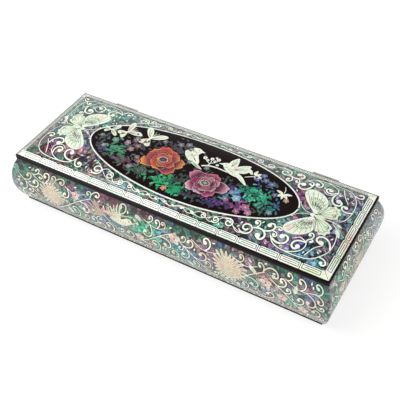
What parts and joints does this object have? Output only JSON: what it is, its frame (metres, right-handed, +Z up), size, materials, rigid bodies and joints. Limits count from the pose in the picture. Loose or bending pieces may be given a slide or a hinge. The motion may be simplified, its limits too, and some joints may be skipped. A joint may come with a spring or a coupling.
{
  "type": "hinged brush box",
  "caption": "Long lacquered wooden box with swelling sides and a crowned hinged lid, covered in shell inlay and lined with velvet, for keeping brushes.",
  "frame": {"origin": "centre of the footprint on the surface that the box stands on", "axes": "+X along the box, +Y to the hinged back, +Z up"},
  "size_m": [0.3426, 0.1266, 0.0678],
  "materials": {
    "lacquered_wood": "polished black lacquer",
    "abalone_lacquer": "coloured abalone shell and cream shell scrolls under clear lacquer",
    "white_shell": "polished white shell",
    "fret_inlay": "white shell fret with fine black lines",
    "picture_inlay": "black lacquer with shell flowers, birds and butterflies",
    "brass_fittings": "dull aged brass",
    "velvet_lining": "dark red velvet on card",
    "base_felt": "dark green felt"
  },
  "bodies": {
    "case": {"front_wall": "lacquered_wood", "front_inlay": "abalone_lacquer", "front_lining": "velvet_lining", "back_wall": "lacquered_wood", "back_inlay": "abalone_lacquer", "back_lining": "velvet_lining", "left_wall": "lacquered_wood", "left_inlay": "abalone_lacquer", "left_lining": "velvet_lining", "right_wall": "lacquered_wood", "right_inlay": "abalone_lacquer", "right_lining": "velvet_lining", "base_board": "lacquered_wood", "base_felt": "base_felt", "floor_lining": "velvet_lining", "left_hinge_case_leaf": "brass_fittings", "left_hinge_pin": "brass_fittings", "right_hinge_case_leaf": "brass_fittings", "right_hinge_pin": "brass_fittings", "hinge_case_screws": "brass_fittings"},
    "lid": {"lid_board": "lacquered_wood", "front_fret_border": "fret_inlay", "back_fret_border": "fret_inlay", "left_fret_border": "fret_inlay", "right_fret_border": "fret_inlay", "medallion_panel": "picture_inlay", "medallion_ring": "white_shell", "left_butterfly": "white_shell", "right_butterfly": "white_shell", "field_inlay": "abalone_lacquer", "lid_lining": "velvet_lining", "left_hinge_lid_leaf": "brass_fittings", "right_hinge_lid_leaf": "brass_fittings", "hinge_lid_screws": "brass_fittings"}
  },
  "joints": [
    {"name": "lid_hinge", "type": "hinge", "parent": "case", "child": "lid", "pos_m": [0, 0.058, 0.056], "axis": [-1, 0, 0], "range_deg": [0, 100]}
  ]
}
